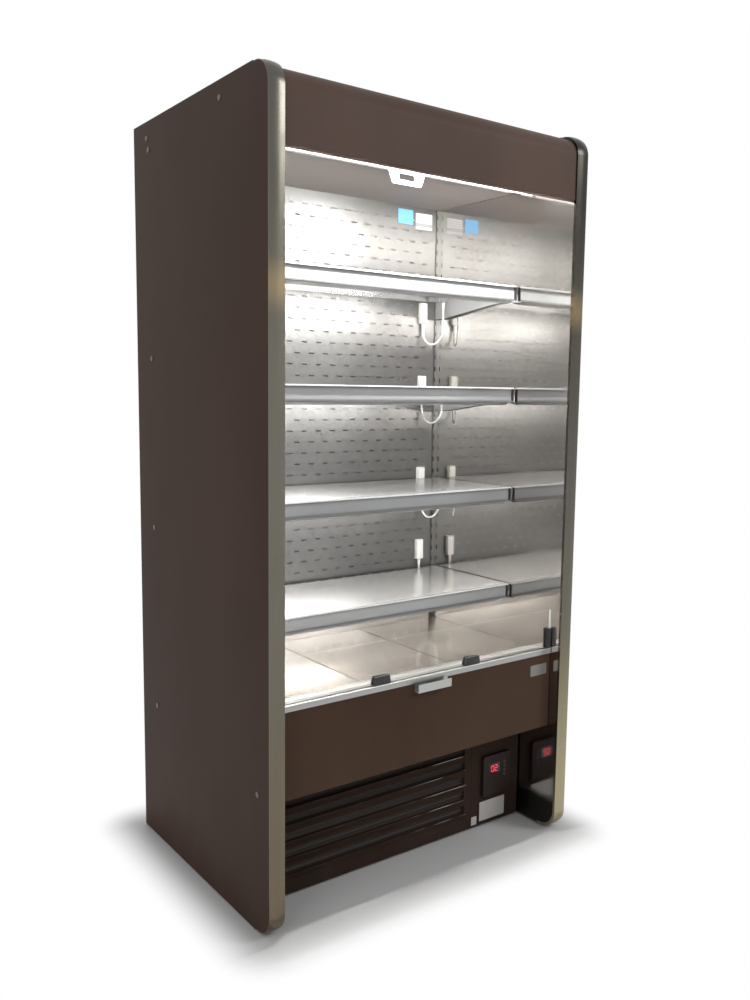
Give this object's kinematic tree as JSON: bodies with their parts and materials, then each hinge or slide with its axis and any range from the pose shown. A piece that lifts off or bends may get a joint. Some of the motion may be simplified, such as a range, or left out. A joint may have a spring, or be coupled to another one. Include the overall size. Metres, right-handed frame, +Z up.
{
  "type": "open multideck display fridge",
  "caption": "Upright open-front chilled display cabinet: shelves before a slotted back panel, lit canopy, pull-down night blind, glass riser, louvred kick, cooling plant in its base.",
  "frame": {"origin": "on the floor under the middle of the cabinet", "axes": "+X to the cabinet's right as a shopper faces it, +Y to its rear, +Z up"},
  "size_m": [1.004, 0.74, 1.99],
  "materials": {
    "end_panels": "satin",
    "edge_trim": "brushed",
    "mirror_liner": "polished",
    "screw_caps": "satin",
    "insulation_skin": "satin",
    "fascia": "textured",
    "ceiling": "satin",
    "white_plastic": "satin",
    "lamp": "diffusing",
    "roller": "woven",
    "blind_fabric": "woven",
    "blind_bar": "painted white",
    "catch": "satin",
    "white_sheet": "satin",
    "shelves": "polished",
    "brackets": "satin",
    "ticket_rail": "satin",
    "deck": "polished",
    "nose": "satin",
    "riser_glass": "clear",
    "riser_clips": "satin",
    "kick": "satin",
    "control_box": "satin",
    "display": "gloss",
    "keys": "satin",
    "plated_steel": "galvanised",
    "compressor": "satin",
    "coils": "satin",
    "pipes": "satin",
    "fan_plastic": "satin",
    "tray_plastic": "satin"
  },
  "bodies": {
    "cabinet": {"air_curtain_grille": "white_plastic", "back_panel": "white_sheet", "back_wall": "insulation_skin", "base_frame": "plated_steel", "blind_cassette": "ceiling", "blind_catch": "catch", "blind_fabric": "blind_fabric", "canopy_ceiling": "ceiling", "canopy_fascia": "fascia", "canopy_lamp": "lamp", "compressor": "compressor", "condensate_tray": "tray_plastic", "condenser_coil": "coils", "condenser_fan_mount": "plated_steel", "control_box": "control_box", "control_panel": "kick", "deck_pans": "deck", "display_window": "display", "drain_pipe": "tray_plastic", "electrical_box": "control_box", "end_panel_left": "end_panels", "end_panel_right": "end_panels", "end_trims": "edge_trim", "evaporator_coil": "coils", "evaporator_fan_plate": "plated_steel", "insulated_base": "insulation_skin", "kick_grille": "kick", "lamp_lead_1": "white_plastic", "lamp_lead_2": "white_plastic", "lamp_lead_3": "white_plastic", "lamp_lead_4": "white_plastic", "lamp_sockets": "white_plastic", "levelling_feet": "plated_steel", "mirror_liners": "mirror_liner", "nose_panel": "nose", "nose_trim": "catch", "panel_screw_caps": "screw_caps", "rear_cover": "plated_steel", "refrigerant_pipes": "pipes", "return_air_grille": "white_sheet", "riser_clips": "riser_clips", "riser_glass": "riser_glass", "roof_panel": "insulation_skin", "shelf_1": "shelves", "shelf_2": "shelves", "shelf_3": "shelves", "shelf_4": "shelves", "shelf_brackets": "brackets", "shelf_lamps": "lamp", "ticket_rails": "ticket_rail", "uprights": "white_sheet"},
    "blind_bar": {"blind_bar": "blind_bar"},
    "blind_roller": {"blind_roller": "roller"},
    "key_up": {"key_up": "keys"},
    "key_down": {"key_down": "keys"},
    "key_set": {"key_set": "keys"},
    "key_light": {"key_light": "keys"},
    "condenser_fan": {"condenser_fan": "fan_plastic"},
    "evaporator_fan_left": {"evaporator_fan_left": "fan_plastic"},
    "evaporator_fan_right": {"evaporator_fan_right": "fan_plastic"}
  },
  "joints": [
    {"name": "blind_slide", "type": "slide", "parent": "cabinet", "child": "blind_bar", "axis": [0, -0.1076, -0.9942], "range_m": [0, 1.3], "stiffness_N_per_m": 6, "springref_m": -3, "deforming": ["blind_fabric"]},
    {"name": "blind_roller_spin", "type": "hinge", "parent": "cabinet", "child": "blind_roller", "pos_m": [0, -0.2262, 1.8932], "axis": [1, 0, 0], "continuous": true},
    {"name": "key_up_press", "type": "slide", "parent": "cabinet", "child": "key_up", "axis": [0, 1, 0], "range_m": [0, 0.001], "stiffness_N_per_m": 400, "springref_m": -0.0005},
    {"name": "key_down_press", "type": "slide", "parent": "cabinet", "child": "key_down", "axis": [0, 1, 0], "range_m": [0, 0.001], "stiffness_N_per_m": 400, "springref_m": -0.0005},
    {"name": "key_set_press", "type": "slide", "parent": "cabinet", "child": "key_set", "axis": [0, 1, 0], "range_m": [0, 0.001], "stiffness_N_per_m": 400, "springref_m": -0.0005},
    {"name": "key_light_press", "type": "slide", "parent": "cabinet", "child": "key_light", "axis": [0, 1, 0], "range_m": [0, 0.001], "stiffness_N_per_m": 400, "springref_m": -0.0005},
    {"name": "condenser_fan_spin", "type": "hinge", "parent": "cabinet", "child": "condenser_fan", "pos_m": [-0.24, -0.08, 0.147], "axis": [0, 1, 0], "continuous": true},
    {"name": "evaporator_fan_left_spin", "type": "hinge", "parent": "cabinet", "child": "evaporator_fan_left", "pos_m": [-0.23, -0.165, 0.4405], "axis": [0, 1, 0], "continuous": true},
    {"name": "evaporator_fan_right_spin", "type": "hinge", "parent": "cabinet", "child": "evaporator_fan_right", "pos_m": [0.23, -0.165, 0.4405], "axis": [0, 1, 0], "continuous": true}
  ],
  "couplings": [
    {"joint": "blind_roller_spin", "follows": "blind_slide", "rad_per_m": -54}
  ]
}
